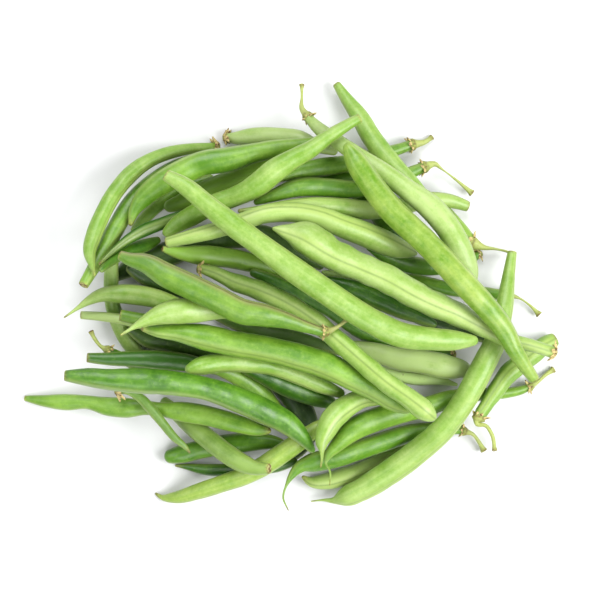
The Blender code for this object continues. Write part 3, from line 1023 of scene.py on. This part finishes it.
    @staticmethod
    def _as_mesh(
        points: np.ndarray, radii: np.ndarray, ends: np.ndarray, along: np.ndarray
    ) -> bpy.types.Mesh:
        """Return a line of edges with its attributes."""
        mesh = bpy.data.meshes.new("axis")
        edges = [(i, i + 1) for i in range(len(points) - 1)]
        mesh.from_pydata((points * MM).tolist(), edges, [])
        mesh.attributes.new("girth", "FLOAT", "POINT").data.foreach_set("value", radii * MM)
        mesh.attributes.new("along", "FLOAT", "POINT").data.foreach_set("value", along)
        zones = mesh.attributes.new("ends", "FLOAT_VECTOR", "POINT")
        zones.data.foreach_set("vector", ends.astype(np.float32).ravel())
        return mesh


def heap() -> list[Bean]:
    """Return every bean of the heap, from the floor to the top."""
    cut, rounded, tail, cap, stem = End.CUT, End.ROUND, End.TAIL, End.CAP, End.STEM
    at = Compass
    # The shade column is partly painted light and shade: pods that lie hidden or in the gaps take low
    # values and the darkest skin as painted shade, and a few pods that lie in shade take high values as
    # painted light.
    return [
        Bean("bean_hidden_west", Skin.DARK, rounded, at.W, rounded, shade=0.6),
        Bean("bean_hidden_south", Skin.DARK, rounded, at.NW, rounded, shade=-0.2),
        Bean("bean_hidden_north", Skin.DEEP, rounded, at.NW, rounded, shade=0.6),
        Bean("bean_floor_west", Skin.LIME, cut, at.N, cut, shade=0.5, seam=90),
        Bean("bean_hidden_northwest", Skin.MID, rounded, at.NE, rounded, shade=0.7),
        Bean("bean_west_arch_inner", Skin.MID, cut, at.SW, rounded, seam=50, shade=0.5),
        Bean("bean_southwest_dark", Skin.DEEP, rounded, at.E, tail, shade=0.2),
        Bean("bean_southwest_stub", Skin.DEEP, rounded, at.W, rounded, shade=0.75),
        Bean("bean_west_dark_stem", Skin.DEEP, stem, at.NW, rounded, shade=0.1),
        Bean("bean_under_west", Skin.DARK, rounded, at.W, rounded, shade=0.5),
        Bean("bean_east_stem_thin", Skin.MID, stem, at.E, rounded, shade=0.3),
        Bean("bean_northeast_under", Skin.DEEP, cap, at.E, rounded, shade=0.6),
        Bean("bean_gap_east", Skin.DARK, cap, at.W, rounded, shade=0.2),
        Bean("bean_spotted", Skin.SPOTTED, rounded, at.E, rounded, shade=1.4),
        Bean("bean_south_hook", Skin.LIME, rounded, at.E, tail, seam=-15, shade=1.1),
        Bean("bean_south_long_tail", Skin.MID, stem, at.E, tail, shade=0.25),
        Bean("bean_west_pale_thin", Skin.PALE, cut, at.W, rounded, shade=1.2),
        Bean("bean_west_blunt", Skin.MID, cut, at.W, rounded, shade=0.6),
        Bean("bean_northeast_stem", Skin.PALE, stem, at.E, rounded, shade=0.3),
        Bean("bean_west_arch", Skin.LIME, cap, at.E, tail, seam=120, shade=0.2, cap_size=1.5),
        Bean("bean_north_under", Skin.MID, rounded, at.W, rounded, shade=1.2),
        Bean("bean_north_stem_short", Skin.MID, stem, at.E, rounded, shade=0.4),
        Bean("bean_north_stem_long", Skin.MID, stem, at.E, rounded, seam=70, shade=0.25),
        Bean("bean_northeast_blunt", Skin.LIME, cut, at.E, tail, shade=0.8),
        Bean("bean_north_rim", Skin.PALE, cap, at.W, rounded, shade=1.1, cap_size=1.6),
        Bean("bean_northwest_stub", Skin.DEEP, cut, at.NE, rounded, shade=0.45),
        Bean("bean_northwest_grooved", Skin.DEEP, rounded, at.NE, tail, seam=10, shade=-0.3),
        Bean("bean_west_shaded", Skin.DEEP, cut, at.W, rounded, shade=-0.1),
        Bean("bean_gap_west", Skin.DARK, rounded, at.W, rounded, shade=-0.4),
        Bean("bean_west_whisker", Skin.LIME, rounded, at.E, tail, shade=0.65),
        Bean("bean_core_deep_west", Skin.MID, rounded, at.NW, rounded, shade=0.5),
        Bean("bean_core_deep", Skin.DEEP, rounded, at.NW, rounded, shade=0.15),
        Bean("bean_core_pale", Skin.LIME, rounded, at.W, rounded, seam=60, shade=0.4),
        Bean("bean_core_olive", Skin.DARK, rounded, at.W, rounded, shade=1.2),
        Bean("bean_core_bright", Skin.MID, cut, at.W, rounded, shade=0.95),
        Bean("bean_gap_pale", Skin.PALE, rounded, at.W, rounded, shade=0.5),
        Bean("bean_gap_dark", Skin.DEEP, rounded, at.W, rounded, shade=0.15),
        Bean("bean_gap_centre", Skin.DEEP, cap, at.E, rounded, shade=0.2),
        Bean("bean_east_pale", Skin.PALE, rounded, at.W, rounded, shade=1.1),
        Bean("bean_south_curved", Skin.MID, stem, at.E, tail, shade=0.6),
        Bean("bean_southwest_lime", Skin.YELLOW, rounded, at.E, tail, shade=0.45),
        Bean("bean_southwest_olive", Skin.OLIVE, cut, at.SE, rounded, shade=0.95),
        Bean("bean_lumpy", Skin.MID, cut, at.W, tail, swell=0.07, shade=0.6),
        Bean("bean_tiny", Skin.OLIVE, cap, at.NW, tail, shade=-0.2, cap_size=1.6),
        Bean("bean_south_claw", Skin.LIME, rounded, at.NE, tail, seam=-35, shade=0.75),
        Bean("bean_deep_long", Skin.DEEP, cut, at.W, rounded, seam=60, shade=0.45),
        Bean("bean_northwest_broad", Skin.MID, rounded, at.E, tail, shade=0.55),
        Bean("bean_north_tall", Skin.LIME, cut, at.N, rounded, shade=0.4),
        Bean("bean_north_sweep", Skin.PALE, stem, at.N, rounded, shade=0.75),
        Bean("bean_s_curved", Skin.LIME, cut, at.NE, rounded, shade=0.25),
        Bean("bean_centre_seamed", Skin.LIME, cut, at.W, rounded, seam=-38, shade=1.0),
        Bean("bean_east_bent", Skin.LIME, stem, at.S, cut, seam=-20, shade=0.2),
        Bean("bean_great_arc", Skin.LIME, cut, at.N, tail, seam=100, shade=0.6),
        Bean("bean_broad_seamed", Skin.PALE, cap, at.SE, rounded, seam=0, shade=0.55),
        Bean("bean_centre_bright", Skin.MID, rounded, at.E, tail, seam=-45, shade=0.5),
        Bean("bean_leaf_ended", Skin.PALE, cut, at.E, tail, shade=0.4),
        Bean("bean_long_seamed", Skin.LIME, cap, at.W, rounded, seam=0, shade=0.45, cap_size=1.2),
        Bean("bean_rough_backed", Skin.STRINGY, stem, at.E, cut, shade=0.3, seam=58),
        Bean("bean_top_lime", Skin.LIME, cut, at.NW, rounded, seam=100, shade=0.5),
        Bean("bean_top_green", Skin.FRESH, cut, at.SE, rounded, seam=80, shade=0.5),
    ]


@dataclass
class BeanHeap:
    """The whole heap, built bean by bean and fastened to the frame."""

    seed: int = 41
    beans: list[Bean] = field(default_factory=heap)

    def build(self) -> None:
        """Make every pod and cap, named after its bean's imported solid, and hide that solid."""
        chance = np.random.default_rng(self.seed)
        sweep = PodSweep()
        sepals = SepalRing()
        materials = {skin: skin.value.build() for skin in Skin}
        dry = DryCapFinish().build()
        for number, bean in enumerate(self.beans):
            bean.pitch = float(chance.uniform(9.0, 12.5))
            bean.twist = float(chance.uniform(-25.0, 25.0))
            pod = bean.build(sweep, materials)
            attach(pod, BODY)
            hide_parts(bean.node)
            cap = bean.build_cap(sepals, dry, number)
            if cap is not None:
                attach(cap, BODY)
            LOG.info("%s: %d faces", pod.name, len(pod.data.polygons))


# ---------------------------------------------------------------------------------------------
# The studio
# ---------------------------------------------------------------------------------------------


@dataclass(frozen=True)
class Softbox:
    """A square soft lamp that faces the heap.

    bearing is in degrees anticlockwise from east, and height is in degrees above the floor.
    """

    name: str
    bearing: float
    height: float
    power: float
    size: float = 1.0
    distance: float = 1.6

    def build(self) -> None:
        """Hang the lamp."""
        bearing = math.radians(self.bearing)
        height = math.radians(self.height)
        flat = math.cos(height)
        way = Vector((math.cos(bearing) * flat, math.sin(bearing) * flat, math.sin(height)))
        light = bpy.data.lights.new(self.name, "AREA")
        light.energy = self.power
        light.size = self.size
        lamp = bpy.data.objects.new(self.name, light)
        lamp.location = way * self.distance
        lamp.rotation_euler = (-way).to_track_quat("-Z", "Y").to_euler()
        bpy.context.scene.collection.objects.link(lamp)


@dataclass
class Studio:
    """A white floor, a dim surround, a ring of softboxes and a camera straight above."""

    floor_radius: float = 6.0
    surround: float = 0.09
    softboxes: tuple[Softbox, ...] = (
        Softbox("key", -12.0, 46.0, 40.0),
        Softbox("fill_north", 96.0, 46.0, 24.0),
        Softbox("fill_south", -100.0, 46.0, 16.0),
        Softbox("fill_west", 175.0, 42.0, 11.0),
    )
    camera_height: float = 2.5
    view_width: float = 0.225
    view_shift: tuple[float, float] = (0.0032, -0.0017)
    sensor: float = 36.0

    def build(self) -> None:
        """Make the studio."""
        self._floor()
        self._surround()
        for softbox in self.softboxes:
            softbox.build()
        self._camera()
        bpy.context.scene.view_settings.view_transform = "Standard"

    def _floor(self) -> None:
        """Make the floor that the heap lies on."""
        bpy.ops.mesh.primitive_circle_add(vertices=96, radius=self.floor_radius, fill_type="NGON")
        floor = bpy.context.object
        floor.name = "floor"
        floor.data.transform(floor.matrix_world)
        floor.matrix_world.identity()
        floor.data.materials.append(FloorFinish().build())
        floor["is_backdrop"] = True

    def _surround(self) -> None:
        """Light the scene evenly from all round."""
        world = bpy.data.worlds.new("surround")
        world.use_nodes = True
        background = world.node_tree.nodes["Background"]
        background.inputs["Color"].default_value = (0.97, 0.985, 1.0, 1.0)
        background.inputs["Strength"].default_value = self.surround
        bpy.context.scene.world = world

    def _camera(self) -> None:
        """Put the camera straight above the heap, with north at the top of the view."""
        low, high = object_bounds()
        middle = (low + high) / 2
        data = bpy.data.cameras.new("camera")
        data.sensor_width = self.sensor
        data.lens = self.sensor * self.camera_height / self.view_width
        data.clip_end = 100.0
        camera = bpy.data.objects.new("camera", data)
        east, north = self.view_shift
        camera.location = (middle.x + east, middle.y + north, middle.z + self.camera_height)
        bpy.context.scene.collection.objects.link(camera)
        bpy.context.scene.camera = camera


def main() -> None:
    """Build the studio and the heap."""
    logging.basicConfig(level=logging.INFO, format="%(message)s")
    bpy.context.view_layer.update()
    Studio().build()
    BeanHeap().build()


if __name__ == "__main__":
    main()
